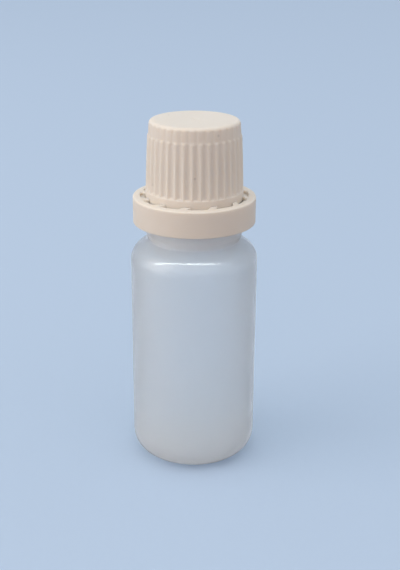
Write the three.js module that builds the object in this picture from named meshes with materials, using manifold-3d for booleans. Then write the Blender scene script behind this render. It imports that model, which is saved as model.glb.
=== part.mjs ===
// Shot bottle: a small squeeze bottle with a dropper insert, a ribbed screw cap and a breakaway ring.
// Millimetres, +Z up, standing on the plane z = 0, the axis of the bottle on the Z axis.

import * as THREE from 'three';
import { mergeVertices } from 'three/addons/utils/BufferGeometryUtils.js';
import Module from 'manifold-3d';

const wasm = await Module();
wasm.setup();

// Bottle
const bodyRadius = 13.6;
const bodyHeight = 45.4;
const baseCorner = 4.6;
const wall = 0.9;
const floorThickness = 1.1;
const basePushUp = 0.8;
const standWidth = 1.6;
const shoulderSweep = 84;

// Neck
const neckFinish = 18;
const threadDepth = 1;
const threadPitch = 3;
const threadTurns = 2.55;
const neckWall = 2;
const rimChamfer = 0.4;
const waistHeight = 1.2;
const flareHeight = 1.6;
const flareDepth = 1.05;
const flangeHeight = 1.4;
const beadHeight = 0.6;
const beadHold = 0.85;
const grooveWall = 1.2;

// Breakaway ring and its bridges; the angle is that of one bridge from +X toward +Y
const ringHeight = 5.7;
const ringWall = 1.5;
const ringSlope = 0.2;
const ringFillet = 0.65;
const lipHeight = 1.5;
const lipChamfer = 0.4;
const bridgeCount = 12;
const bridgeAngle = 20;
const bridgeReach = 0.75;
const bridgeSink = 0.2;
const bridgeSlant = 1;
const bridgeRoot = 1.6;
const bridgeTip = 1;
const bridgeHeight = 0.6;
const bridgeDrop = 0.08;

// Cap and its ribbed grip; the angle is that of one groove from +X toward +Y
const skirtWall = 1.23;
const collarOverlap = 0.06;
const collarRise = 1.55;
const collarStep = 0.07;
const ribCount = 36;
const grooveAngle = 2.5;
const grooveDepth = 0.43;
const grooveTaper = 0.57;
const grooveRunOut = 0.45;
const ribWidth = 0.4;
const ribTaper = 0.51;
const ribCrown = 0.06;
const ribStep = 0.23;
const stepHeight = 0.32;
const bandHeight = 2.15;
const bandTaper = 0.2;
const capFillet = 0.83;
const roofThickness = 1.6;
const entryChamfer = 0.3;

// Dropper insert and sealing liner
const plugLength = 7;
const plugLead = 0.8;
const sleeveWall = 1.2;
const insertFlangeHeight = 1.2;
const insertChamfer = 0.25;
const nozzleLength = 4.2;
const nozzleTip = 2.2;
const dropHole = 0.5;
const dropCup = 1.3;
const dropCupDepth = 0.9;
const dropLand = 0.8;
const linerThickness = 1.2;

// Clearances between pieces that fit into one another
const threadClearance = 0.15;
const pressClearance = 0.15;
const seatGap = 0.3;
const sealGap = 0.1;

// Number of flat sides that stand for a full turn
const bodySides = 48;
const insertSides = 36;
const capSides = 2 * ribCount;

// Number of flat strips from the middle of a groove to its edge
const grooveSteps = 3;

// Radii of the closure, from the thread outward
const threadRadius = neckFinish / 2;
const coreRadius = threadRadius - threadDepth;
const capBore = threadRadius + threadClearance;
const ribRadius = capBore + skirtWall;
const collarRadius = ribRadius + collarStep;
const ringBore = collarRadius + seatGap + bridgeReach;
const ringRadius = ringBore + ringWall;

// Radii of the neck under the ring, and of its bore
const beadRadius = ringBore - 2 * seatGap;
const lipRadius = beadRadius - beadHold;
const grooveRadius = lipRadius - seatGap;
const flangeRadius = beadRadius + seatGap;
const waistRadius = flangeRadius - flareDepth;
const neckRoom = grooveRadius - grooveWall;
const neckBore = coreRadius - neckWall;

// Radii of the insert and the liner
const plugRadius = neckBore - pressClearance;
const sleeveRadius = plugRadius - sleeveWall;
const insertFlange = coreRadius - rimChamfer;
const linerRadius = insertFlange;

// Heights of the bottle, from the base up to the flange
const sweepAngle = THREE.MathUtils.degToRad(shoulderSweep);
const shoulderRadius = (bodyRadius - waistRadius) / (1 - Math.cos(sweepAngle));
const shoulderTop = bodyHeight + shoulderRadius * Math.sin(sweepAngle);
const waistTop = shoulderTop + waistHeight;
const flangeEdge = waistTop + flareHeight;
const flangeTop = flangeEdge + flangeHeight;

// Heights of the ring, the bead that holds it and the threaded neck
const ringBottom = flangeTop + seatGap;
const ringTop = ringBottom + ringHeight;
const lipTop = ringBottom + lipHeight;
const beadUnder = lipTop + seatGap;
const beadEdge = beadUnder + beadHeight;
const capBottom = ringTop - collarOverlap;
const neckRim = capBottom + threadTurns * threadPitch;

// Heights of the nozzle, the liner and the cap above the rim
const insertTop = neckRim + insertFlangeHeight;
const nozzleTop = insertTop + nozzleLength;
const linerBottom = nozzleTop + sealGap;
const linerTop = linerBottom + linerThickness;
const roofUnder = linerTop + sealGap;
const capTop = roofUnder + roofThickness;
const collarTop = ringTop + collarRise;
const bandTop = capTop - capFillet;
const bandBottom = bandTop - bandHeight;
const ribTop = bandBottom - stepHeight;

// One point of a profile: distance from the axis and height
function at(radius, height) {
  return new THREE.Vector2(radius, height);
}

// Points along part of a circle in the profile plane, from one angle to another
function arc(centreRadius, centreHeight, radius, from, to, steps) {
  const points = [];
  for (let step = 0; step <= steps; step += 1) {
    const angle = THREE.MathUtils.degToRad(from + ((to - from) * step) / steps);
    points.push(at(centreRadius + radius * Math.cos(angle), centreHeight + radius * Math.sin(angle)));
  }
  return points;
}

// Turn a profile about the Z axis; the profile runs outward along the bottom and up the outside
function turned(points, sides, startDegrees = 0) {
  const start = THREE.MathUtils.degToRad(startDegrees);
  const geometry = new THREE.LatheGeometry(points, sides, start, 2 * Math.PI);
  return geometry.rotateX(Math.PI / 2);
}

// Make a solid of a closed geometry, leaving out the empty triangles on the axis
function solidOf(geometry) {
  const bare = geometry.clone();
  bare.deleteAttribute('normal');
  bare.deleteAttribute('uv');
  const merged = mergeVertices(bare, 1e-4);
  const corners = merged.index.array;
  const kept = [];
  for (let first = 0; first < corners.length; first += 3) {
    const [a, b, c] = corners.slice(first, first + 3);
    if (a !== b && b !== c && c !== a) {
      kept.push(a, b, c);
    }
  }
  const mesh = new wasm.Mesh({
    numProp: 3,
    vertProperties: Float32Array.from(merged.attributes.position.array),
    triVerts: Uint32Array.from(kept),
  });
  return new wasm.Manifold(mesh);
}

// Make a geometry of a solid
function geometryOf(solid) {
  const mesh = solid.getMesh();
  const geometry = new THREE.BufferGeometry();
  geometry.setAttribute('position', new THREE.BufferAttribute(Float32Array.from(mesh.vertProperties), 3));
  geometry.setIndex(new THREE.BufferAttribute(Uint32Array.from(mesh.triVerts), 1));
  geometry.computeVertexNormals();
  return geometry;
}

// Bottle: one thin shell with a domed base, a round shoulder, a groove for the ring and a neck
function bottleProfile() {
  const standRadius = bodyRadius - baseCorner;
  const domeRadius = standRadius - standWidth;
  const domeMiddle = domeRadius / 2;
  const domeMiddleRise = 0.75 * basePushUp;
  const roomRadius = bodyRadius - wall;
  const roomCorner = Math.max(baseCorner - wall, wall);
  const roomShoulder = Math.max(shoulderRadius - wall, 0.3 * wall);
  return [
    at(0, basePushUp),
    at(domeMiddle, domeMiddleRise),
    at(domeRadius, 0),
    ...arc(standRadius, baseCorner, baseCorner, -90, 0, 6),
    ...arc(bodyRadius - shoulderRadius, bodyHeight, shoulderRadius, 0, shoulderSweep, 6),
    at(waistRadius, waistTop),
    at(flangeRadius, flangeEdge),
    at(flangeRadius, flangeTop),
    at(grooveRadius, flangeTop),
    at(grooveRadius, beadUnder),
    at(beadRadius, beadUnder),
    at(beadRadius, beadEdge),
    at(coreRadius, capBottom),
    at(coreRadius, neckRim - rimChamfer),
    at(coreRadius - rimChamfer, neckRim),
    at(neckBore, neckRim),
    at(neckBore, capBottom),
    at(neckRoom, beadUnder),
    at(neckRoom, shoulderTop),
    ...arc(roomRadius - roomShoulder, bodyHeight, roomShoulder, shoulderSweep, 0, 5),
    ...arc(roomRadius - roomCorner, floorThickness + roomCorner, roomCorner, 0, -90, 5),
    at(domeMiddle, domeMiddleRise + floorThickness),
    at(0, basePushUp + floorThickness),
  ];
}

// Insert: a plug in the neck, a flange on the rim and a nozzle with a fine drop hole
function insertProfile() {
  const plugBottom = neckRim - plugLength;
  const landTop = nozzleTop - dropCupDepth;
  return [
    at(sleeveRadius, plugBottom),
    at(plugRadius - 0.5 * plugLead, plugBottom),
    at(plugRadius, plugBottom + plugLead),
    at(plugRadius, neckRim),
    at(insertFlange, neckRim),
    at(insertFlange, insertTop - insertChamfer),
    at(insertFlange - insertChamfer, insertTop),
    at(sleeveRadius + insertChamfer, insertTop),
    at(nozzleTip, nozzleTop - insertChamfer),
    at(nozzleTip - insertChamfer, nozzleTop),
    at(dropCup, nozzleTop),
    at(dropHole, landTop),
    at(dropHole, landTop - dropLand),
    at(sleeveRadius, insertTop - sleeveWall),
    at(sleeveRadius, plugBottom),
  ];
}

// Liner: a soft disc under the roof of the cap
function linerProfile() {
  return [
    at(0, linerBottom),
    at(linerRadius, linerBottom),
    at(linerRadius, linerTop),
    at(0, linerTop),
  ];
}

// Cap before the grooves are cut: collar, grip as one tapered cone, plain band and flat top
function capOutline() {
  const gripMiddle = (collarTop + ribTop) / 2;
  const bandRadius = ribRadius - ribTaper - ribStep;
  const edgeRadius = bandRadius - bandTaper;
  return [
    at(0, capBottom),
    at(collarRadius, capBottom),
    at(collarRadius, collarTop),
    at(ribRadius, collarTop + collarStep),
    at(ribRadius - ribTaper / 2 + ribCrown, gripMiddle),
    at(ribRadius - ribTaper, ribTop),
    at(bandRadius, bandBottom),
    ...arc(edgeRadius - capFillet, bandTop, capFillet, 0, 90, 4),
    at(0, capTop),
  ];
}

// Room inside the cap: thread bore, chamber over the nozzle, and the undercut seat of the liner
function capRoom() {
  const below = capBottom - entryChamfer;
  const chamber = linerRadius + seatGap + pressClearance;
  const seat = linerRadius + pressClearance;
  const catchRadius = linerRadius - seatGap;
  const catchTop = linerBottom - sealGap;
  return [
    at(0, below),
    at(capBore + entryChamfer, below),
    at(capBore + entryChamfer, capBottom),
    at(capBore, capBottom + entryChamfer),
    at(capBore, neckRim + seatGap),
    at(chamber, insertTop),
    at(chamber, catchTop - 4 * seatGap),
    at(catchRadius, catchTop - 2 * seatGap),
    at(catchRadius, catchTop),
    at(seat, catchTop),
    at(seat, roofUnder),
    at(0, roofUnder),
  ];
}

// One groove of the grip: a shallow hollow channel that leans inward with the taper of the cap and whose
// lower end slopes out to the collar
function grooveCutter(angle) {
  const floorRadius = ribRadius - grooveDepth;
  const rise = capTop + capFillet - collarTop;
  const lean = Math.atan2(grooveTaper, rise);
  const pitch = (2 * Math.PI * ribRadius) / ribCount;
  const mouthHalf = (pitch - ribWidth) / 2;
  const outline = [at(mouthHalf, 2 * grooveDepth), at(-mouthHalf, 2 * grooveDepth)];
  for (let step = -grooveSteps; step <= grooveSteps; step += 1) {
    const across = step / grooveSteps;
    outline.push(at(mouthHalf * across, grooveDepth * across * across));
  }
  const section = new THREE.Shape(outline);
  const cutter = new THREE.ExtrudeGeometry(section, { depth: rise / Math.cos(lean), bevelEnabled: false });
  const corners = cutter.attributes.position;
  for (let corner = 0; corner < corners.count; corner += 1) {
    if (corners.getZ(corner) === 0) {
      corners.setZ(corner, grooveRunOut * (1 - corners.getY(corner) / grooveDepth));
    }
  }
  cutter.rotateX(lean);
  cutter.translate(0, floorRadius, collarTop);
  return cutter.rotateZ(angle - Math.PI / 2);
}

// Cap: the outline with its room and its grooves taken out
function capSolid() {
  let solid = solidOf(turned(capOutline(), capSides, grooveAngle));
  solid = solid.subtract(solidOf(turned(capRoom(), bodySides)));
  for (let rib = 0; rib < ribCount; rib += 1) {
    const angle = THREE.MathUtils.degToRad(grooveAngle + (360 * rib) / ribCount);
    solid = solid.subtract(solidOf(grooveCutter(angle)));
  }
  return solid;
}

// Ring: a smooth band with a top that slopes outward and a lip that hooks under the bead of the neck
function ringProfile() {
  return [
    at(lipRadius + lipChamfer, ringBottom),
    at(ringRadius, ringBottom),
    ...arc(ringRadius - ringFillet, ringTop - ringSlope - ringFillet, ringFillet, 0, 90, 4),
    at(ringBore, ringTop),
    at(ringBore, lipTop + lipChamfer),
    at(lipRadius + lipChamfer, lipTop),
    at(lipRadius, lipTop - lipChamfer),
    at(lipRadius, ringBottom + lipChamfer),
    at(lipRadius + lipChamfer, ringBottom),
  ];
}

// One bridge: a slanted tab from the ring to just short of the cap collar
function bridgeGeometry(angle) {
  const inner = collarRadius + seatGap;
  const outer = ringBore + bridgeSink;
  const slant = bridgeSlant / 2;
  const plan = new THREE.Shape([
    at(outer, -slant - bridgeRoot / 2),
    at(outer, -slant + bridgeRoot / 2),
    at(inner, slant + bridgeTip / 2),
    at(inner, slant - bridgeTip / 2),
  ]);
  const bridge = new THREE.ExtrudeGeometry(plan, { depth: bridgeHeight, bevelEnabled: false });
  bridge.translate(0, 0, ringTop - bridgeDrop - bridgeHeight);
  return bridge.rotateZ(angle);
}

// Ring with all its bridges as one piece
function ringSolid() {
  let solid = solidOf(turned(ringProfile(), bodySides));
  for (let bridge = 0; bridge < bridgeCount; bridge += 1) {
    const angle = THREE.MathUtils.degToRad(bridgeAngle + (360 * bridge) / bridgeCount);
    solid = solid.add(solidOf(bridgeGeometry(angle)));
  }
  return solid;
}

// Put a solid into the part under its own name, colour and finish
function addPiece(group, name, solid, colour, roughness) {
  const material = new THREE.MeshStandardMaterial({ color: colour, roughness, metalness: 0 });
  const mesh = new THREE.Mesh(geometryOf(solid), material);
  mesh.name = name;
  group.add(mesh);
}

const part = new THREE.Group();
part.name = 'shot_bottle';
addPiece(part, 'bottle_body', solidOf(turned(bottleProfile(), bodySides)), 0xc6cedb, 0.45);
addPiece(part, 'dropper_insert', solidOf(turned(insertProfile(), insertSides)), 0xe4e7ea, 0.4);
addPiece(part, 'cap_liner', solidOf(turned(linerProfile(), insertSides)), 0xf2f0ea, 0.7);
addPiece(part, 'screw_cap', capSolid(), 0xe9e3d6, 0.4);
addPiece(part, 'tamper_ring', ringSolid(), 0xe9e3d6, 0.4);

export default part;
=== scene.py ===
import math

import bmesh
import bpy
from bpy.props import FloatProperty, FloatVectorProperty, IntProperty, PointerProperty
from mathutils import Matrix, Vector


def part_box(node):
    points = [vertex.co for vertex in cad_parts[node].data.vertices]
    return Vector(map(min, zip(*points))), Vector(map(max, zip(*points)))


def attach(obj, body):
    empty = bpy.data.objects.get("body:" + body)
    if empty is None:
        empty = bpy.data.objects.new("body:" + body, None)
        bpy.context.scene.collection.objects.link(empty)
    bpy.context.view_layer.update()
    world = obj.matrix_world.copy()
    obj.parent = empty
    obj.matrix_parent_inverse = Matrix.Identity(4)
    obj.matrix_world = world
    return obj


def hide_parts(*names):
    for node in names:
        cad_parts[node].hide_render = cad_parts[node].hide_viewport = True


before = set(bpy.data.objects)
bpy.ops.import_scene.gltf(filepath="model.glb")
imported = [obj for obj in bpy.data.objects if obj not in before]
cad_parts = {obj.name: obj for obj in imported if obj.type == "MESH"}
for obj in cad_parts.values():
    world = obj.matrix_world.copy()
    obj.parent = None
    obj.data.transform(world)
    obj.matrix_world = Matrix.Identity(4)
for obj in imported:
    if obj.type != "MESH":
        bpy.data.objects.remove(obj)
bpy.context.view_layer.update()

bl_info = {
    "name": "Shot bottle",
    "version": (1, 0, 0),
    "blender": (4, 5, 0),
    "location": "View3D > Sidebar > Shot bottle",
    "description": "Models a small squeeze bottle with a ribbed screw cap and a breakaway ring",
    "category": "Mesh",
}

# Sizes are in metres, in the frame of the construction model
MM = 0.001
BOTTLE_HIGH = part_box("bottle_body")[1]
INSERT_LOW, INSERT_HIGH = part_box("dropper_insert")
LINER_LOW, LINER_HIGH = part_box("cap_liner")
CAP_LOW, CAP_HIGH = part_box("screw_cap")
RING_LOW, RING_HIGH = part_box("tamper_ring")

# Points that are closer than this become one
MERGE = 0.001 * MM

# Faces that meet at less than this angle are shaded as one surface
SMOOTH_ANGLE = math.radians(32)

# Steps around the axis for the round pieces and for one turn of a thread
BOTTLE_STEPS = 144
INSERT_STEPS = 96
LINER_STEPS = 96
RING_STEPS = 180
THREAD_STEPS = 64

# How far the root of a thread reaches into its wall
THREAD_SINK = 0.1 * MM

# Places of the small dark marks on the cap: in a groove, on the roof and on the band
CAP_MARKS = (
    (0.15 * MM, -9.93 * MM, 65.4 * MM),
    (-5.5 * MM, 3.9 * MM, 75.4 * MM),
    (4.8 * MM, -8.25 * MM, 73.8 * MM),
)


# Property helpers


def length(name, description, default):
    """A size in metres."""
    return FloatProperty(name=name, description=description, default=default, unit='LENGTH', precision=5)


def degrees(name, description, default):
    """An angle, given in degrees."""
    return FloatProperty(name=name, description=description, default=math.radians(default), subtype='ANGLE')


def amount(name, description, default):
    """A plain number."""
    return FloatProperty(name=name, description=description, default=default)


def number(name, description, default):
    """A whole number."""
    return IntProperty(name=name, description=description, default=default)


def position(name, description, default):
    """A place in metres."""
    return FloatVectorProperty(
        name=name, description=description, default=default, subtype='XYZ', unit='LENGTH', size=3)


def colour(name, description, default):
    """A colour, as linear red, green and blue."""
    return FloatVectorProperty(
        name=name, description=description, default=default, subtype='COLOR', size=3, min=0, max=1)


class ShotBottleSizes(bpy.types.PropertyGroup):
    """Sizes of the bottle, its neck and the insert in it."""

    body_radius: length("Body radius", "Outside radius of the straight wall", BOTTLE_HIGH[0])
    rim_height: length("Rim height", "Height of the rim of the neck", BOTTLE_HIGH[2])
    base_corner: length("Base corner", "Rounding between the base and the wall", 4.6 * MM)
    base_rise: length("Base rise", "Height of the dome under the base", 0.8 * MM)
    stand_radius: length("Stand radius", "Inner radius of the ring that the bottle stands on", 7.4 * MM)
    wall: length("Wall", "Thickness of the wall", 0.9 * MM)
    floor_thickness: length("Floor", "Thickness of the base", 1.1 * MM)
    ripple_depth: length("Ripple depth", "Depth of the faint unevenness of the wall", 0.012 * MM)
    ripple_size: length("Ripple size", "Size of one swell of the wall", 2.6 * MM)
    shoulder_height: length("Shoulder height", "Height where the shoulder meets the waist", 50 * MM)
    shoulder_rounding: length("Shoulder rounding", "Radius of the shoulder", 4.2 * MM)
    shoulder_slope: degrees("Shoulder slope", "Slope of the top of the shoulder", 35)
    waist_radius: length("Waist radius", "Radius of the shallow groove over the shoulder", 9.85 * MM)
    waist_height: length("Waist height", "Height of the flare out of the groove", 1.2 * MM)
    neck_radius: length("Neck radius", "Radius of the band between the groove and the flange", 10.3 * MM)
    flange_radius: length("Flange radius", "Radius of the flange under the ring", 11.2 * MM)
    flange_height: length("Flange height", "Thickness of the flange", 0.35 * MM)
    flange_top: length("Flange top", "Height of the top of the flange", RING_LOW[2] - 0.3 * MM)
    groove_radius: length("Groove radius", "Radius of the groove for the lip of the ring", 9.75 * MM)
    bead_under: length(
        "Bead underside", "Height of the underside of the bead over the groove", RING_LOW[2] + 1.8 * MM)
    bead_radius: length("Bead radius", "Radius of the bead that holds the ring", 10.9 * MM)
    bead_height: length("Bead height", "Height of the edge of the bead", 1.7 * MM)
    core_radius: length("Neck core", "Radius of the neck at the root of its thread", 8 * MM)
    neck_bore: length("Neck bore", "Radius of the mouth", 6 * MM)
    neck_room: length("Neck room", "Inside radius under the threaded part", 8.55 * MM)
    thread_radius: length("Thread radius", "Radius over the crest of the neck thread", 8.9 * MM)
    thread_foot: length("Thread foot", "Width of the neck thread at its root", 1.5 * MM)
    thread_turns: amount("Thread turns", "Turns of the neck thread", 1.75)
    thread_pitch: length("Thread pitch", "Rise of the thread in one turn", 3 * MM)
    plug_radius: length("Plug radius", "Radius of the plug of the insert", 5.85 * MM)
    sleeve_radius: length("Sleeve radius", "Inside radius of the plug", 4.65 * MM)
    insert_flange: length("Insert flange", "Thickness of the flange on the rim", 1.2 * MM)
    nozzle_radius: length("Nozzle radius", "Radius of the nozzle at its tip", 2.2 * MM)
    drop_hole: length("Drop hole", "Radius of the hole in the nozzle", 0.5 * MM)


class ShotBottleClosure(bpy.types.PropertyGroup):
    """Sizes of the cap and of the breakaway ring."""

    cap_top: length("Cap top", "Height of the top of the cap", CAP_HIGH[2])
    cap_bottom: length("Cap bottom", "Height of the lower edge of the collar", CAP_LOW[2])
    collar_radius: length("Collar radius", "Radius of the smooth collar", 10.33 * MM)
    collar_top: length("Collar top", "Height where the grooves end on the collar", RING_HIGH[2] + 1.33 * MM)
    skirt_drop: length("Skirt drop", "How far the collar reaches down into the ring", 0.7 * MM)
    rib_radius: length("Rib radius", "Radius over the ribs at the collar", 10.28 * MM)
    rib_top: length("Rib top", "Height where the ribs end", CAP_HIGH[2] - 3.3 * MM)
    rib_taper: length("Rib taper", "How much narrower the grip is at the top of the ribs", 0.43 * MM)
    rib_crown: length("Rib crown", "How far the grip swells between its ends", 0.06 * MM)
    rib_width: length("Rib width", "Width of the flat tip of a rib at the collar", 0.25 * MM)
    rib_count: number("Ribs", "Number of ribs around the grip", 36)
    rib_columns: number("Columns", "Columns of faces for one rib", 14)
    groove_angle: degrees("Groove angle", "Where one groove stands", 2.5)
    groove_depth: length("Groove depth", "Depth of the grooves at the collar", 0.34 * MM)
    groove_taper: length("Groove taper", "How much the grooves lean inward on their way up", 0.3 * MM)
    groove_run_out: length("Groove run-out", "Height of the sloped lower end of a groove", 0.42 * MM)
    flute_depth: length("Flute depth", "Depth of the shallow end of the grooves in the band", 0.02 * MM)
    band_bottom: length("Band bottom", "Lower edge of the plain band", CAP_HIGH[2] - 2.8 * MM)
    band_radius: length("Band radius", "Radius of the plain band at its lower edge", 9.64 * MM)
    band_taper: length("Band taper", "How much narrower the band is at its top", 0.2 * MM)
    edge_rounding: length("Edge rounding", "Rounding of the top edge", 0.83 * MM)
    bore: length("Bore", "Inside radius at the root of the thread", 9.15 * MM)
    thread_crest: length("Thread crest", "Inside radius over the crest of the thread", 8.2 * MM)
    thread_foot: length("Thread foot", "Width of the cap thread at its root", 1.1 * MM)
    thread_turns: amount("Thread turns", "Turns of the cap thread", 1.25)
    chamber: length("Chamber", "Inside radius over the insert", 8.05 * MM)
    liner_seat: length("Liner seat", "Inside radius of the seat of the liner", 7.75 * MM)
    liner_catch: length("Liner catch", "Inside radius of the rib that holds the liner", 7.3 * MM)
    roof_under: length("Roof underside", "Height of the underside of the roof", LINER_HIGH[2] + 0.1 * MM)
    ring_radius: length("Ring radius", "Outside radius of the ring", RING_HIGH[0])
    ring_bottom: length("Ring bottom", "Height of the lower edge of the ring", RING_LOW[2])
    ring_top: length("Ring top", "Height of the upper edge of the ring", RING_HIGH[2])
    ring_bore: length("Ring bore", "Inside radius of the ring", 11.5 * MM)
    ring_slope: length("Ring slope", "How far the top of the ring falls toward its outside", 0.1 * MM)
    ring_rounding: length("Ring rounding", "Rounding of the upper edge of the ring", 0.35 * MM)
    ledge_radius: length("Ledge radius", "Inside radius of the ledge under the gap", 10.45 * MM)
    ledge_drop: length("Ledge drop", "How far the ledge lies under the top of the ring", 0.62 * MM)
    ledge_height: length("Ledge height", "Thickness of the ledge", 0.6 * MM)
    lip_radius: length("Lip radius", "Inside radius of the lip of the ring", 10.05 * MM)
    lip_height: length("Lip height", "Height of the lip of the ring", 1.5 * MM)
    bridge_count: number("Bridges", "Number of breakaway bridges", 12)
    bridge_angle: degrees("Bridge angle", "Where one bridge stands", 20)
    bridge_slant: length("Bridge slant", "Sideways shift of a bridge on its way in", 1 * MM)
    bridge_root: length("Bridge root", "Width of a bridge at the ring", 1.9 * MM)
    bridge_tip: length("Bridge tip", "Width of a bridge at the collar", 1.4 * MM)
    bridge_height: length("Bridge height", "Height of a bridge", 0.88 * MM)
    bridge_drop: length("Bridge drop", "How far the bridges lie under the top of the ring", 0.03 * MM)
    bridge_rise: length("Bridge rise", "How far a bridge climbs to the side of the collar", 0.2 * MM)
    bridge_gap: length("Bridge gap", "Gap left where a bridge breaks off", 0.03 * MM)


class ShotBottleColours(bpy.types.PropertyGroup):
    """Colours of the finishes and of the floor."""

    milky: colour("Milky plastic", "Colour of the bottle", (0.905, 0.94, 0.968))
    ivory: colour("Ivory plastic", "Colour of the cap and the ring", (0.785, 0.734, 0.664))
    natural: colour("Natural plastic", "Colour of the insert", (0.82, 0.84, 0.86))
    foam: colour("Foam", "Colour of the liner", (0.84, 0.83, 0.80))
    floor: colour("Floor", "Colour of the floor where it is seen", (0.48, 0.605, 0.785))
    bounce: colour("Floor bounce", "Colour of the light that the floor throws back", (0.32, 0.31, 0.31))


class ShotBottleStage(bpy.types.PropertyGroup):
    """The camera, the floor and the lights."""

    camera_place: position("Camera place", "Where the camera stands", (1.295 * MM, -207.3 * MM, 118.7 * MM))
    camera_tilt: degrees("Camera tilt", "How far the camera looks down", 21.05)
    camera_roll: degrees("Camera roll", "How far the camera leans to its left", 0.35)
    camera_lens: amount("Camera lens", "Focal length, in millimetres", 64.3)
    camera_sensor: amount("Camera sensor", "Width of the sensor, in millimetres", 36)
    floor_radius: length("Floor radius", "Radius of the round floor", 4)
    strip_place: position("Strip place", "Where the overhead strip hangs", (-0.4, -0.13, 0.42))
    strip_length: length("Strip length", "Length of the strip", 1.4)
    strip_width: length("Strip width", "Width of the strip", 0.045)
    strip_power: amount("Strip light", "Power of the strip, which shows only as gloss", 3)
    strip_tint: colour("Strip colour", "Colour of the strip", (0.94, 1, 0.98))
    side_place: position("Side place", "Where the light from the left stands", (-1.16, -0.36, 0.56))
    side_target: position("Side target", "Where the light from the left points", (0, 0, 0.04))
    side_width: length("Side width", "Width and height of the light from the left", 1.2)
    side_power: amount("Side light", "Power of the light from the left", 7.2)
    side_tint: colour("Side colour", "Colour of the light from the left", (1, 0.92, 0.84))
    top_level: amount("Top light", "Level of the even light from above", 1.27)
    sky_top: colour("Top sky", "Even light from above", (0.97, 1, 0.98))
    sky_front: colour("Front sky", "Even light from the side of the camera", (0.74, 0.605, 0.615))
    sky_back: colour("Back sky", "Even light from behind the bottle", (0.23, 0.26, 0.27))


# Modelling helpers


def soften(corners, steps, closed=False):
    """The points of an outline, where each corner is (radius, height, rounding)."""
    points = []
    count = len(corners)
    for index, (radius, height, rounding) in enumerate(corners):
        spot = Vector((radius, height))
        at_end = not closed and index in (0, count - 1)
        if rounding == 0 or at_end:
            points.append(spot)
            continue
        back = (Vector(corners[index - 1][:2]) - spot).normalized()
        onward = (Vector(corners[(index + 1) % count][:2]) - spot).normalized()
        half = back.angle(onward) / 2
        centre = spot + (back + onward).normalized() * (rounding / math.sin(half))
        start = spot + back * (rounding / math.tan(half)) - centre
        finish = spot + onward * (rounding / math.tan(half)) - centre
        first = math.atan2(start.y, start.x)
        sweep = math.remainder(math.atan2(finish.y, finish.x) - first, 2 * math.pi)
        for step in range(steps + 1):
            angle = first + sweep * step / steps
            points.append(centre + rounding * Vector((math.cos(angle), math.sin(angle))))
    return points + points[:1] if closed else points


def divide(points, longest):
    """The same outline with no stretch longer than the given length."""
    divided = points[:1]
    for here, there in zip(points, points[1:]):
        parts = max(1, math.ceil((there - here).length / longest))
        divided += [here.lerp(there, part / parts) for part in range(1, parts + 1)]
    return divided


def soft_lower(first, second, blend):
    """The lower of two values, with a rounded change from one to the other."""
    return (first + second - math.hypot(first - second, blend)) / 2


def select_only(piece):
    """Select one piece, make it the active one and deselect all others."""
    bpy.ops.object.select_all(action='DESELECT')
    bpy.context.view_layer.objects.active = piece
    piece.select_set(True)


def select_where(test):
    """Select the vertices of the mesh in edit mode whose places pass a test, and nothing else."""
    mesh = bmesh.from_edit_mesh(bpy.context.object.data)
    bpy.ops.mesh.select_all(action='DESELECT')
    for vertex in mesh.verts:
        vertex.select = test(vertex.co)
    mesh.select_flush(True)
    bmesh.update_edit_mesh(bpy.context.object.data)


def draw(name, points):
    """A new piece in edit mode: a chain of edges through the points of an outline."""
    bpy.ops.object.select_all(action='DESELECT')
    bpy.ops.mesh.primitive_plane_add(size=MM, location=(0, 0, 0))
    piece = bpy.context.object
    piece.name = name
    bpy.ops.object.mode_set(mode='EDIT')
    bpy.ops.mesh.select_all(action='SELECT')
    bpy.ops.mesh.merge(type='CENTER')
    bpy.ops.transform.translate(value=(points[0].x, 0, points[0].y))
    for here, there in zip(points, points[1:]):
        step = there - here
        bpy.ops.mesh.extrude_region_move(TRANSFORM_OT_translate={"value": (step.x, 0, step.y)})
    return piece


def close_mesh():
    """Merge the doubles of the mesh in edit mode, point its faces outwards and leave edit mode."""
    bpy.ops.mesh.select_all(action='SELECT')
    bpy.ops.mesh.remove_doubles(threshold=MERGE)
    bpy.ops.mesh.normals_make_consistent(inside=False)
    bpy.ops.object.mode_set(mode='OBJECT')


def copy_around(count):
    """Copy the mesh in edit mode around the axis of the bottle until it is there count times."""
    bpy.ops.mesh.select_all(action='SELECT')
    angle = 2 * math.pi * (count - 1) / count
    bpy.ops.mesh.spin(steps=count - 1, dupli=True, angle=angle, center=(0, 0, 0), axis=(0, 0, 1))


def spin(name, points, steps, copies=1):
    """A round piece: an outline turned about the axis of the bottle, in one go or as copies of a sector."""
    piece = draw(name, points)
    bpy.ops.mesh.select_all(action='SELECT')
    bpy.ops.mesh.spin(steps=steps, angle=2 * math.pi / copies, center=(0, 0, 0), axis=(0, 0, 1))
    if copies > 1:
        copy_around(copies)
    close_mesh()
    return piece


def turn(piece, angle):
    """Turn a piece about the axis of the bottle, in its mesh."""
    select_only(piece)
    piece.rotation_euler = (0, 0, angle)
    bpy.ops.object.transform_apply(location=False, rotation=True, scale=False)


def apply_modifier(piece, kind, **settings):
    """Add a modifier to a piece, set it up and apply it."""
    select_only(piece)
    modifier = piece.modifiers.new(kind.title(), kind)
    for setting, value in settings.items():
        setattr(modifier, setting, value)
    bpy.ops.object.modifier_apply(modifier=modifier.name)


def merge_into(piece, addition):
    """Join another closed piece to a closed piece as one skin."""
    apply_modifier(piece, 'BOOLEAN', operation='UNION', solver='MANIFOLD', object=addition)
    bpy.data.objects.remove(addition)


def thin_section(heart, along, reach, size):
    """Shrink one section of a thread around its heart, square to the way that the thread runs."""
    slack = 20 * MERGE

    def in_section(spot):
        step = spot - heart
        return abs(step.dot(along)) < slack and step.length < reach

    select_where(in_section)
    bpy.ops.transform.resize(value=(size, size, size), center_override=heart)


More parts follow.
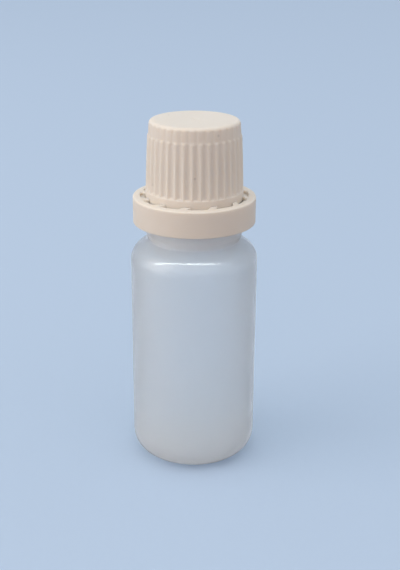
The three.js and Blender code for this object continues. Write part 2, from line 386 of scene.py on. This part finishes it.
def wind_thread(name, root, crest, foot, height, turns, pitch):
    """A thread ridge that winds up to the right from a root radius to a crest radius, thin at its ends."""
    tip = 0.4 * foot
    rounding = 0.3 * tip
    fade_steps = 12
    thinnest = 0.15
    steps = round(THREAD_STEPS * turns)
    sweep = 2 * math.pi * turns
    rise = pitch * turns
    corners = [
        (root, -foot / 2, 0),
        (crest, -tip / 2, rounding),
        (crest, tip / 2, rounding),
        (root, foot / 2, 0),
    ]
    ridge = draw(name, soften(corners, steps=3, closed=True))
    bpy.ops.mesh.select_all(action='SELECT')
    bpy.ops.mesh.remove_doubles(threshold=MERGE)
    bpy.ops.transform.translate(value=(0, 0, height))
    bpy.ops.object.mode_set(mode='OBJECT')
    apply_modifier(
        ridge, 'SCREW', axis='Z', angle=sweep, screw_offset=rise, steps=steps, render_steps=steps,
        use_merge_vertices=False)
    bpy.ops.object.mode_set(mode='EDIT')
    for step in range(fade_steps):
        size = thinnest + (1 - thinnest) * math.sin(math.pi / 2 * step / fade_steps)
        for place in (step, steps - step):
            angle = sweep * place / steps
            heart = Vector((root * math.cos(angle), root * math.sin(angle), height + rise * place / steps))
            along = Vector((-math.sin(angle), math.cos(angle), 0))
            thin_section(heart, along, foot, size)
    bpy.ops.mesh.select_all(action='SELECT')
    bpy.ops.mesh.fill_holes(sides=0)
    close_mesh()
    return ridge


def dress(piece, node, body, material):
    """Let a finished piece stand for its node, ride on its body and wear its finish."""
    select_only(piece)
    bpy.ops.object.shade_smooth_by_angle(angle=SMOOTH_ANGLE)
    piece.data.materials.clear()
    piece.data.materials.append(material)
    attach(piece, body)
    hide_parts(node)


# Shader helpers


class Value:
    """A socket of a shader tree that takes part in Python expressions."""

    def __init__(self, shader, socket):
        self.shader = shader
        self.socket = socket

    def combine(self, operation, first, second):
        return self.shader.node('ShaderNodeMath', {"operation": operation}, {0: first, 1: second})

    def __add__(self, other):
        return self.combine('ADD', self, other)

    def __radd__(self, other):
        return self.combine('ADD', other, self)

    def __sub__(self, other):
        return self.combine('SUBTRACT', self, other)

    def __rsub__(self, other):
        return self.combine('SUBTRACT', other, self)

    def __mul__(self, other):
        return self.combine('MULTIPLY', self, other)

    def __rmul__(self, other):
        return self.combine('MULTIPLY', other, self)


class Shader:
    """A new material, or the world, and the nodes in it."""

    def __init__(self, owner):
        owner.use_nodes = True
        self.owner = owner
        self.tree = owner.node_tree
        self.tree.nodes.clear()

    def node(self, kind, settings, sockets, output=0):
        """Add a node, set it up, fill its sockets with values or links and return one of its outputs."""
        node = self.tree.nodes.new(kind)
        for setting, value in settings.items():
            if setting == "stops":
                self.set_stops(node.color_ramp, value)
            else:
                setattr(node, setting, value)
        for name, value in sockets.items():
            socket = node.inputs[name]
            if isinstance(value, Value):
                self.tree.links.new(value.socket, socket)
            else:
                socket.default_value = value
        return Value(self, node.outputs[output]) if node.outputs else None

    @staticmethod
    def set_stops(ramp, stops):
        """Give a colour ramp its stops, each a place and a grey level."""
        while len(ramp.elements) < len(stops):
            ramp.elements.new(1)
        for element, (place, level) in zip(ramp.elements, stops):
            element.position = place
            element.color = (level, level, level, 1)

    def place(self):
        """The place on the piece, in metres."""
        return self.node('ShaderNodeTexCoord', {}, {}, "Object")

    def part(self, vector, axis):
        """One part of a vector."""
        return self.node('ShaderNodeSeparateXYZ', {}, {"Vector": vector}, axis)

    def noise(self, scale, detail=2, stretch=(1, 1, 1)):
        """Cloudy noise, with features of about 1 / scale metres, stretched along the axes."""
        spot = self.node('ShaderNodeMapping', {}, {"Vector": self.place(), "Scale": stretch})
        return self.node('ShaderNodeTexNoise', {}, {"Vector": spot, "Scale": scale, "Detail": detail}, "Fac")

    def marks(self, places, radius):
        """One in small round marks at some places of the piece, zero between them."""
        marks = 0
        for place in places:
            sockets = {0: self.place(), 1: place}
            distance = self.node('ShaderNodeVectorMath', {"operation": 'DISTANCE'}, sockets, "Value")
            marks = marks + self.ramp(distance * (1 / radius), [(0.5, 1), (1, 0)])
        return marks

    def ramp(self, value, stops):
        """A value sent through a ramp of grey levels."""
        return self.node('ShaderNodeValToRGB', {"stops": stops}, {"Fac": value}, "Color")

    def mix(self, factor, first, second):
        """A colour between two colours."""
        sockets = {"Factor": factor, 6: first, 7: second}
        return self.node('ShaderNodeMix', {"data_type": 'RGBA'}, sockets, 2)

    def seen(self):
        """One where the camera sees the surroundings: straight, mirrored or through a clear piece."""
        rays = ["Is Camera Ray", "Is Glossy Ray", "Is Transmission Ray", "Diffuse Depth"]
        camera, gloss, clear, depth = [self.node('ShaderNodeLightPath', {}, {}, ray) for ray in rays]
        scattered = self.node('ShaderNodeMath', {"operation": 'MINIMUM'}, {0: depth, 1: 1})
        return (1 - (1 - camera) * (1 - gloss) * (1 - clear)) * (1 - scattered)

    def bump(self, height, distance, strength):
        """A normal roughened by a height."""
        sockets = {"Height": height, "Distance": distance, "Strength": strength}
        return self.node('ShaderNodeBump', {}, sockets)

    def surface(self, sockets):
        """A principled surface."""
        return self.node('ShaderNodeBsdfPrincipled', {}, sockets)

    def blend(self, factor, first, second):
        """A surface between two surfaces."""
        return self.node('ShaderNodeMixShader', {}, {0: factor, 1: first, 2: second})

    def finish(self, surface, clear=0):
        """End the material in a surface that lets a share of the light of the lamps through."""
        if clear:
            shadow = self.node('ShaderNodeLightPath', {}, {}, "Is Shadow Ray")
            surface = self.blend(shadow * clear, surface, self.node('ShaderNodeBsdfTransparent', {}, {}))
        self.node('ShaderNodeOutputMaterial', {}, {"Surface": surface})
        return self.owner


def opaque(tint, level=1):
    """A colour with full alpha, made lighter or darker by a level."""
    return (tint[0] * level, tint[1] * level, tint[2] * level, 1)


# Finishes


def milky_plastic(tint, sizes):
    """Natural soft polyethylene: cloudy, half clear, denser at the base and the neck, with a waxy sheen."""
    shader = Shader(bpy.data.materials.new("milky_plastic"))
    clouds = shader.noise(scale=90, detail=3)
    streaks = shader.noise(scale=260, detail=2, stretch=(1, 1, 0.06))
    grain = shader.noise(scale=2600, detail=3)
    sockets = {
        "Base Color": shader.mix(clouds * 0.6 + streaks * 0.4, opaque(tint, 0.985), opaque(tint, 1.005)),
        "Roughness": 0.52 + 0.12 * clouds,
        "IOR": 1.51,
        "Specular IOR Level": 0.3,
        "Subsurface Weight": 0.8,
        "Subsurface Radius": (1.0, 1.0, 1.0),
        "Subsurface Scale": 1.5 * MM,
        "Coat Weight": 1,
        "Coat Roughness": 0.06,
        "Sheen Weight": 0.25,
        "Sheen Roughness": 0.5,
        "Normal": shader.bump(grain + 1.5 * streaks, distance=0.02 * MM, strength=0.35),
    }
    thin = shader.surface({**sockets, "Transmission Weight": 0.9})
    thick = shader.surface({**sockets, "Transmission Weight": 0.3})
    height = shader.part(shader.place(), "Z") * (1 / sizes.rim_height)
    corner = sizes.base_corner / sizes.rim_height
    neck = sizes.shoulder_height / sizes.rim_height
    fade = 0.015
    base_density = 0.4
    corner_density = 0.16
    neck_density = 0.65
    density = shader.ramp(height, [
        (0, base_density),
        (corner, corner_density),
        (3 * corner, 0),
        (neck - fade, 0),
        (neck + fade, neck_density),
        (1, neck_density),
    ])
    return shader.finish(shader.blend(density, thin, thick), clear=0.48)


def ivory_plastic(tint):
    """Moulded ivory polypropylene: satin, faintly mottled, with mould grain, specks and dark marks."""
    shader = Shader(bpy.data.materials.new("ivory_plastic"))
    clouds = shader.noise(scale=160, detail=3)
    grain = shader.noise(scale=3200, detail=3)
    specks = shader.ramp(shader.noise(scale=420, detail=1), [(0.76, 0), (0.79, 1)])
    marks = shader.marks(CAP_MARKS, radius=0.35 * MM)
    shade = shader.mix(clouds, opaque(tint, 0.98), opaque(tint, 1.02))
    dark = opaque(tint, 0.4)
    return shader.finish(shader.surface({
        "Base Color": shader.mix(specks * 0.12 + marks * 0.24, shade, dark),
        "Roughness": 0.46 + 0.12 * clouds,
        "IOR": 1.49,
        "Specular IOR Level": 0.35,
        "Subsurface Weight": 1,
        "Subsurface Radius": (1.0, 0.94, 0.84),
        "Subsurface Scale": 0.9 * MM,
        "Normal": shader.bump(grain, distance=0.02 * MM, strength=0.3),
    }))


def natural_plastic(tint):
    """Natural polyethylene of the insert: cloudy, with a satin sheen."""
    shader = Shader(bpy.data.materials.new("natural_plastic"))
    clouds = shader.noise(scale=240, detail=3)
    grain = shader.noise(scale=3000, detail=3)
    return shader.finish(shader.surface({
        "Base Color": shader.mix(clouds, opaque(tint, 0.95), opaque(tint, 1.03)),
        "Roughness": 0.34 + 0.12 * clouds,
        "IOR": 1.51,
        "Transmission Weight": 0.35,
        "Subsurface Weight": 0.5,
        "Subsurface Scale": 0.8 * MM,
        "Normal": shader.bump(grain, distance=0.02 * MM, strength=0.3),
    }))


def foam_sheet(tint):
    """Foamed polyethylene of the liner: matt, with small closed cells."""
    shader = Shader(bpy.data.materials.new("foam_sheet"))
    cells = shader.node('ShaderNodeTexVoronoi', {}, {"Vector": shader.place(), "Scale": 2400}, "Distance")
    return shader.finish(shader.surface({
        "Base Color": shader.mix(cells, opaque(tint, 1.02), opaque(tint, 0.86)),
        "Roughness": 0.66 + 0.2 * cells,
        "IOR": 1.49,
        "Subsurface Weight": 0.3,
        "Subsurface Scale": 0.4 * MM,
        "Normal": shader.bump(cells, distance=0.05 * MM, strength=0.5),
    }))


def floor_paint(tint, bounce):
    """Plain matt floor, pale where it is seen, which throws little light back onto the bottle."""
    shader = Shader(bpy.data.materials.new("floor_paint"))
    grain = shader.noise(scale=900, detail=3)
    paint = shader.mix(grain, opaque(tint, 0.99), opaque(tint, 1.01))
    return shader.finish(shader.surface({
        "Base Color": shader.mix(shader.seen(), opaque(bounce), paint),
        "Roughness": 0.85,
        "Specular IOR Level": 0.2,
    }))


# Pieces


class SHOTBOTTLE_OT_bottle(bpy.types.Operator):
    """Model the bottle: a thin shell with a domed base, a round shoulder and a threaded neck"""

    bl_idname = "shot_bottle.bottle"
    bl_label = "Bottle"

    def outline(self, sizes, closure):
        """The outline of the shell, out along the base, up the outside, over the rim and down the inside."""
        radius = sizes.body_radius
        slope = math.tan(sizes.shoulder_slope)
        shoulder_edge = sizes.shoulder_height - (radius - sizes.waist_radius) * slope
        waist_top = sizes.shoulder_height + sizes.waist_height
        flange_bottom = sizes.flange_top - sizes.flange_height
        bead_edge = sizes.bead_under + sizes.bead_height
        room = radius - sizes.wall
        room_edge = shoulder_edge - sizes.wall
        room_top = room_edge + (room - sizes.neck_room) * slope
        floor = sizes.floor_thickness
        dome = sizes.base_rise
        dome_edge = 0.6 * sizes.stand_radius
        dome_edge_height = 0.9 * dome
        dome_rounding = 5 * MM

        # Radius, height and rounding of each corner
        return [
            (0, dome, 0),
            (dome_edge, dome_edge_height, dome_rounding),
            (sizes.stand_radius, 0, 0.6 * MM),
            (radius, 0, sizes.base_corner),
            (radius, shoulder_edge, sizes.shoulder_rounding),
            (sizes.waist_radius, sizes.shoulder_height, 0.35 * MM),
            (sizes.neck_radius, waist_top, 0.3 * MM),
            (sizes.neck_radius, flange_bottom, 0.15 * MM),
            (sizes.flange_radius, flange_bottom, 0.1 * MM),
            (sizes.flange_radius, sizes.flange_top, 0.1 * MM),
            (sizes.groove_radius, sizes.flange_top, 0.2 * MM),
            (sizes.groove_radius, sizes.bead_under, 0.2 * MM),
            (sizes.bead_radius, sizes.bead_under, 0.15 * MM),
            (sizes.bead_radius, bead_edge, 0.3 * MM),
            (sizes.core_radius, closure.cap_bottom, 0.3 * MM),
            (sizes.core_radius, sizes.rim_height, 0.4 * MM),
            (sizes.neck_bore, sizes.rim_height, 0.15 * MM),
            (sizes.neck_bore, closure.cap_bottom, 0.8 * MM),
            (sizes.neck_room, sizes.bead_under, 0.8 * MM),
            (sizes.neck_room, room_top, 0.4 * MM),
            (room, room_edge, sizes.shoulder_rounding - 0.5 * sizes.wall),
            (room, floor, sizes.base_corner - 0.5 * sizes.wall),
            (sizes.stand_radius, floor, 0.8 * MM),
            (dome_edge, dome_edge_height + floor, dome_rounding),
            (0, dome + floor, 0),
        ]

    def ripple(self, bottle, sizes):
        """Press the faint unevenness of blown plastic into the wall."""
        waves = bpy.data.textures.new("waves", 'CLOUDS')
        waves.noise_scale = sizes.ripple_size
        waves.noise_depth = 1
        apply_modifier(
            bottle, 'DISPLACE', texture=waves, texture_coords='LOCAL', strength=sizes.ripple_depth,
            mid_level=1)

    def execute(self, context):
        sizes = context.scene.shot_bottle_sizes
        closure = context.scene.shot_bottle_closure
        points = divide(soften(self.outline(sizes, closure), steps=8), longest=1.2 * MM)
        bottle = spin("bottle", points, BOTTLE_STEPS)
        pitch = sizes.thread_pitch
        start = closure.cap_bottom + 0.7 * pitch
        root = sizes.core_radius - THREAD_SINK
        thread = wind_thread(
            "neck_thread", root, sizes.thread_radius, sizes.thread_foot, start, sizes.thread_turns, pitch)
        merge_into(bottle, thread)
        self.ripple(bottle, sizes)
        finish = milky_plastic(context.scene.shot_bottle_colours.milky, sizes)
        dress(bottle, "bottle_body", "bottle", finish)
        return {'FINISHED'}


class SHOTBOTTLE_OT_insert(bpy.types.Operator):
    """Model the dropper insert: a plug, a flange on the rim and a nozzle with a fine hole"""

    bl_idname = "shot_bottle.insert"
    bl_label = "Dropper insert"

    def execute(self, context):
        sizes = context.scene.shot_bottle_sizes
        rim = sizes.rim_height
        bottom = INSERT_LOW[2]
        top = INSERT_HIGH[2]
        flange_radius = INSERT_HIGH[0]
        flange_top = rim + sizes.insert_flange
        lead_in = 0.4 * MM
        nozzle_foot = sizes.sleeve_radius + 0.25 * MM
        funnel_radius = 1.3 * MM
        funnel_bottom = top - 0.9 * MM
        hole_bottom = top - 1.7 * MM
        cone_bottom = flange_top - 1.2 * MM

        # Radius, height and rounding of each corner
        corners = [
            (sizes.sleeve_radius, bottom, 0.2 * MM),
            (sizes.plug_radius - lead_in, bottom, 0.2 * MM),
            (sizes.plug_radius, bottom + 2 * lead_in, 0.3 * MM),
            (sizes.plug_radius, rim, 0),
            (flange_radius, rim, 0.15 * MM),
            (flange_radius, flange_top, 0.25 * MM),
            (nozzle_foot, flange_top, 0.4 * MM),
            (sizes.nozzle_radius, top, 0.35 * MM),
            (funnel_radius, top, 0.1 * MM),
            (sizes.drop_hole, funnel_bottom, 0.2 * MM),
            (sizes.drop_hole, hole_bottom, 0.1 * MM),
            (sizes.sleeve_radius, cone_bottom, 0.5 * MM),
        ]
        points = divide(soften(corners, steps=5, closed=True), longest=1.5 * MM)
        insert = spin("insert", points, INSERT_STEPS)
        finish = natural_plastic(context.scene.shot_bottle_colours.natural)
        dress(insert, "dropper_insert", "bottle", finish)
        return {'FINISHED'}


class SHOTBOTTLE_OT_liner(bpy.types.Operator):
    """Model the liner: a soft disc under the roof of the cap, with the print of the nozzle"""

    bl_idname = "shot_bottle.liner"
    bl_label = "Cap liner"

    def execute(self, context):
        nozzle = context.scene.shot_bottle_sizes.nozzle_radius
        radius = LINER_HIGH[0]
        bottom = LINER_LOW[2]
        top = LINER_HIGH[2]
        rounding = 0.2 * MM
        print_top = bottom + 0.06 * MM
        print_inner = nozzle - 0.5 * MM
        print_outer = nozzle + 0.2 * MM
        print_slope = 0.2 * MM

        # Radius, height and rounding of each corner
        corners = [
            (0, bottom, 0),
            (print_inner - print_slope, bottom, rounding),
            (print_inner, print_top, rounding),
            (print_outer, print_top, rounding),
            (print_outer + print_slope, bottom, rounding),
            (radius, bottom, rounding),
            (radius, top, rounding),
            (0, top, 0),
        ]
        points = divide(soften(corners, steps=4), longest=1.2 * MM)
        liner = spin("liner", points, LINER_STEPS)
        finish = foam_sheet(context.scene.shot_bottle_colours.foam)
        dress(liner, "cap_liner", "liner", finish)
        return {'FINISHED'}


class SHOTBOTTLE_OT_cap(bpy.types.Operator):
    """Model the cap: a ribbed grip over a smooth collar, with a plain band and an inside thread"""

    bl_idname = "shot_bottle.cap"
    bl_label = "Screw cap"

    def outline(self, closure, sizes):
        """The outline of the cap, out under the roof, down the inside, up the outside and along the top."""
        rib = closure.rib_radius
        rib_middle = (closure.collar_top + closure.rib_top) / 2
        rib_curve = 60 * MM
        row = 0.08 * MM
        rows = 8
        catch_top = LINER_LOW[2] - 0.1 * MM
        catch_bottom = catch_top - 0.6 * MM
        chamber_top = catch_top - 1.2 * MM
        insert_top = sizes.rim_height + sizes.insert_flange
        skirt = closure.cap_bottom - closure.skirt_drop
        mouth = closure.bore + 0.5 * MM
        mouth_top = closure.cap_bottom + 0.3 * MM
        bore_top = sizes.rim_height + 0.3 * MM
        gate = 0.7 * MM
        gate_edge = gate + 0.15 * MM
        gate_floor = closure.cap_top - 0.08 * MM

        # Radius, height and rounding of each corner
        return [
            (0, closure.roof_under, 0),
            (closure.liner_seat, closure.roof_under, 0.15 * MM),
            (closure.liner_seat, catch_top, 0.1 * MM),
            (closure.liner_catch, catch_top, 0.1 * MM),
            (closure.liner_catch, catch_bottom, 0.2 * MM),
            (closure.chamber, chamber_top, 0.3 * MM),
            (closure.chamber, insert_top, 0.4 * MM),
            (closure.bore, bore_top, 0.3 * MM),
            (closure.bore, mouth_top, 0.1 * MM),
            (mouth, skirt, 0.05 * MM),
            (closure.collar_radius, skirt, 0.15 * MM),
            (closure.collar_radius, closure.collar_top, 0.12 * MM),
            *[(rib, closure.collar_top + row * step, 0) for step in range(1, rows + 1)],
            (rib - closure.rib_taper / 2 + closure.rib_crown, rib_middle, rib_curve),
            (rib - closure.rib_taper, closure.rib_top, 0.12 * MM),
            (closure.band_radius, closure.band_bottom, 0.12 * MM),
            (closure.band_radius - closure.band_taper, closure.cap_top, closure.edge_rounding),
            (gate_edge, closure.cap_top, 0.1 * MM),
            (gate, gate_floor, 0.1 * MM),
            (0, gate_floor, 0),
        ]

    def groove_floor(self, closure, height):
        """The radius of the floor of the grooves, which leans inward and ends as flutes in the band."""
        foot = closure.rib_radius - closure.groove_depth
        top = closure.band_radius - closure.band_taper - closure.flute_depth
        if height < closure.rib_top:
            part = (height - closure.collar_top) / (closure.rib_top - closure.collar_top)
            return foot - closure.groove_taper * part
        part = (height - closure.rib_top) / (closure.cap_top - closure.edge_rounding - closure.rib_top)
        return foot - closure.groove_taper + (top - foot + closure.groove_taper) * part

    def press_grooves(self, cap, closure):
        """Push the grip in between the ribs: hollow channels that lean in and slope out at the collar."""
        pitch = 2 * math.pi / closure.rib_count
        mouth = pitch - closure.rib_width / closure.rib_radius
        run_out = closure.groove_depth / closure.groove_run_out
        deepest = 1.5 * closure.groove_depth
        blend = 0.06 * MM
        group = cap.vertex_groups.new(name="grooves")
        for vertex in cap.data.vertices:
            above = vertex.co.z - closure.collar_top
            room = vertex.co.xy.length - self.groove_floor(closure, vertex.co.z)
            if room < 0 or above < 0:
                continue
            angle = math.remainder(math.atan2(vertex.co.y, vertex.co.x) - closure.groove_angle, pitch)
            hollow = room - closure.groove_depth * (2 * angle / mouth) ** 2
            depth = -soft_lower(-soft_lower(hollow, above * run_out, blend), 0, blend)
            group.add([vertex.index], depth / deepest, 'REPLACE')
        apply_modifier(cap, 'DISPLACE', vertex_group=group.name, strength=-deepest, mid_level=0)
        cap.vertex_groups.clear()

    def execute(self, context):
        closure = context.scene.shot_bottle_closure
        sizes = context.scene.shot_bottle_sizes
        points = divide(soften(self.outline(closure, sizes), steps=6), longest=0.8 * MM)
        cap = spin("cap", points, closure.rib_columns, copies=closure.rib_count)
        turn(cap, closure.groove_angle - math.pi / closure.rib_count)
        self.press_grooves(cap, closure)
        pitch = sizes.thread_pitch
        start = closure.cap_bottom + 1.2 * pitch
        root = closure.bore + THREAD_SINK
        thread = wind_thread(
            "cap_thread", root, closure.thread_crest, closure.thread_foot, start, closure.thread_turns,
            pitch)
        merge_into(cap, thread)
        finish = ivory_plastic(context.scene.shot_bottle_colours.ivory)
        dress(cap, "screw_cap", "cap", finish)
        return {'FINISHED'}


class SHOTBOTTLE_OT_ring(bpy.types.Operator):
    """Model the breakaway ring: a smooth band with a lip inside and slanted bridges to the cap"""

    bl_idname = "shot_bottle.ring"
    bl_label = "Breakaway ring"

    def bridges(self, closure):
        """All bridges as one mesh: one slanted tab, copied around the ring."""
        root_sink = 0.2 * MM
        edge = 0.08 * MM
        inner = closure.collar_radius + closure.bridge_gap
        outer = closure.ring_bore + root_sink
        top = closure.ring_top - closure.bridge_drop
        middle = ((inner + outer) / 2, 0, top - closure.bridge_height / 2)
        size = (outer - inner, closure.bridge_root, closure.bridge_height)
        narrowing = closure.bridge_tip / closure.bridge_root
        bpy.ops.object.select_all(action='DESELECT')
        bpy.ops.mesh.primitive_cube_add(size=1, location=(0, 0, 0))
        tabs = bpy.context.object
        tabs.name = "bridges"
        bpy.ops.object.mode_set(mode='EDIT')
        bpy.ops.mesh.select_all(action='SELECT')
        bpy.ops.transform.resize(value=size, center_override=(0, 0, 0))
        bpy.ops.transform.translate(value=middle)
        select_where(lambda spot: spot.x > middle[0])
        bpy.ops.transform.translate(value=(0, -closure.bridge_slant / 2, 0))
        select_where(lambda spot: spot.x < middle[0])
        bpy.ops.transform.resize(value=(1, narrowing, 1), center_override=middle)
        bpy.ops.transform.translate(value=(0, closure.bridge_slant / 2, closure.bridge_rise))
        bpy.ops.mesh.select_all(action='SELECT')
        bpy.ops.mesh.bevel(offset=edge, segments=2, affect='EDGES')
        copy_around(closure.bridge_count)
        close_mesh()
        turn(tabs, closure.bridge_angle)
        return tabs

    def execute(self, context):
        closure = context.scene.shot_bottle_closure
        lip_slope = 0.4 * MM
        lip_top = closure.ring_bottom + closure.lip_height
        ledge_top = closure.ring_top - closure.ledge_drop
        ledge_bottom = ledge_top - closure.ledge_height

        # Radius, height and rounding of each corner
        corners = [
            (closure.lip_radius + lip_slope, closure.ring_bottom, 0.2 * MM),
            (closure.ring_radius, closure.ring_bottom, 0.12 * MM),
            (closure.ring_radius, closure.ring_top - closure.ring_slope, closure.ring_rounding),
            (closure.ring_bore, closure.ring_top, 0.1 * MM),
            (closure.ring_bore, ledge_top, 0.15 * MM),
            (closure.ledge_radius, ledge_top, 0.15 * MM),
            (closure.ledge_radius, ledge_bottom, 0.15 * MM),
            (closure.ring_bore, ledge_bottom, 0.15 * MM),
            (closure.ring_bore, lip_top + lip_slope, 0.4 * MM),
            (closure.lip_radius + lip_slope, lip_top, 0.2 * MM),
            (closure.lip_radius, lip_top - lip_slope, 0.2 * MM),
            (closure.lip_radius, closure.ring_bottom + lip_slope, 0.2 * MM),
        ]
        points = divide(soften(corners, steps=6, closed=True), longest=0.9 * MM)
        ring = spin("ring", points, RING_STEPS)
        merge_into(ring, self.bridges(closure))
        tint = context.scene.shot_bottle_colours.ivory
        finish = bpy.data.materials.get("ivory_plastic") or ivory_plastic(tint)
        dress(ring, "tamper_ring", "ring", finish)
        return {'FINISHED'}


class SHOTBOTTLE_OT_stage(bpy.types.Operator):
    """Set the stage: a plain floor, soft light and the camera"""

    bl_idname = "shot_bottle.stage"
    bl_label = "Stage"

    def add_floor(self, stage, colours):
        """A round floor under the bottle."""
        bpy.ops.object.select_all(action='DESELECT')
        bpy.ops.mesh.primitive_circle_add(
            vertices=128, radius=stage.floor_radius, fill_type='NGON', location=(0, 0, 0))
        floor = bpy.context.object
        floor.name = "floor"
        floor.data.materials.append(floor_paint(colours.floor, colours.bounce))

    def set_world(self, stage, tint):
        """Even light, stronger from above and from the front, that is seen as the colour of the floor."""
        world = bpy.data.worlds.new("studio")
        bpy.context.scene.world = world
        shader = Shader(world)
        direction = shader.node('ShaderNodeTexCoord', {}, {})
        side = shader.part(direction, "Y")
        height = shader.part(direction, "Z")
        around = shader.mix(0.5 - 0.5 * side, opaque(stage.sky_back), opaque(stage.sky_front))
        light = shader.mix(height * height, around, opaque(stage.sky_top, stage.top_level))
        sockets = {"Color": shader.mix(shader.seen(), light, opaque(tint)), "Strength": 1}
        surface = shader.node('ShaderNodeBackground', {}, sockets)
        shader.node('ShaderNodeOutputWorld', {}, {"Surface": surface})

    def add_lamp(self, name, place, target, size, power, tint):
        """A rectangular lamp that faces a target."""
        lamp = bpy.data.lights.new(name, 'AREA')
        lamp.shape = 'RECTANGLE'
        lamp.size, lamp.size_y = size
        lamp.energy = power
        lamp.color = tint
        holder = bpy.data.objects.new(name, lamp)
        holder.location = place
        holder.rotation_euler = (Vector(target) - Vector(place)).to_track_quat('-Z', 'Y').to_euler()
        bpy.context.collection.objects.link(holder)
        return holder

    def add_lamps(self, stage):
        """A strip overhead for the streak on the shoulder, and a large soft lamp on the left."""
        under_strip = (stage.strip_place[0], stage.strip_place[1], 0)
        strip_size = (stage.strip_length, stage.strip_width)
        strip = self.add_lamp(
            "strip", stage.strip_place, under_strip, strip_size, stage.strip_power, stage.strip_tint)
        strip.visible_diffuse = False
        strip.visible_transmission = False
        side_size = (stage.side_width, stage.side_width)
        self.add_lamp(
            "side", stage.side_place, stage.side_target, side_size, stage.side_power, stage.side_tint)

    def add_camera(self, stage):
        """The camera in front of the bottle, which looks down on it."""
        camera = bpy.data.objects.new("camera", bpy.data.cameras.new("camera"))
        camera.data.lens = stage.camera_lens
        camera.data.sensor_width = stage.camera_sensor
        camera.data.clip_start = 10 * MM
        camera.location = stage.camera_place
        tilt = Matrix.Rotation(math.pi / 2 - stage.camera_tilt, 3, 'X')
        roll = Matrix.Rotation(stage.camera_roll, 3, 'Z')
        camera.rotation_euler = (tilt @ roll).to_euler()
        bpy.context.collection.objects.link(camera)
        bpy.context.scene.camera = camera

    def execute(self, context):
        stage = context.scene.shot_bottle_stage
        colours = context.scene.shot_bottle_colours
        self.add_floor(stage, colours)
        self.set_world(stage, colours.floor)
        self.add_lamps(stage)
        self.add_camera(stage)
        context.scene.view_settings.view_transform = 'Standard'
        return {'FINISHED'}


class SHOTBOTTLE_PT_panel(bpy.types.Panel):
    """The steps of the model, in order"""

    bl_label = "Shot bottle"
    bl_idname = "SHOTBOTTLE_PT_panel"
    bl_space_type = 'VIEW_3D'
    bl_region_type = 'UI'
    bl_category = "Shot bottle"

    def draw(self, context):
        for operator in OPERATORS:
            self.layout.operator(operator.bl_idname)


GROUPS = (ShotBottleSizes, ShotBottleClosure, ShotBottleColours, ShotBottleStage)
OPERATORS = (
    SHOTBOTTLE_OT_bottle, SHOTBOTTLE_OT_insert, SHOTBOTTLE_OT_liner, SHOTBOTTLE_OT_cap, SHOTBOTTLE_OT_ring,
    SHOTBOTTLE_OT_stage)
CLASSES = GROUPS + OPERATORS + (SHOTBOTTLE_PT_panel,)


def register():
    for cls in CLASSES:
        bpy.utils.register_class(cls)
    bpy.types.Scene.shot_bottle_sizes = PointerProperty(type=ShotBottleSizes)
    bpy.types.Scene.shot_bottle_closure = PointerProperty(type=ShotBottleClosure)
    bpy.types.Scene.shot_bottle_colours = PointerProperty(type=ShotBottleColours)
    bpy.types.Scene.shot_bottle_stage = PointerProperty(type=ShotBottleStage)


def unregister():
    del bpy.types.Scene.shot_bottle_stage
    del bpy.types.Scene.shot_bottle_colours
    del bpy.types.Scene.shot_bottle_closure
    del bpy.types.Scene.shot_bottle_sizes
    for cls in reversed(CLASSES):
        bpy.utils.unregister_class(cls)


def main():
    register()
    bpy.ops.shot_bottle.bottle()
    bpy.ops.shot_bottle.insert()
    bpy.ops.shot_bottle.liner()
    bpy.ops.shot_bottle.cap()
    bpy.ops.shot_bottle.ring()
    bpy.ops.shot_bottle.stage()


if __name__ == "__main__":
    main()
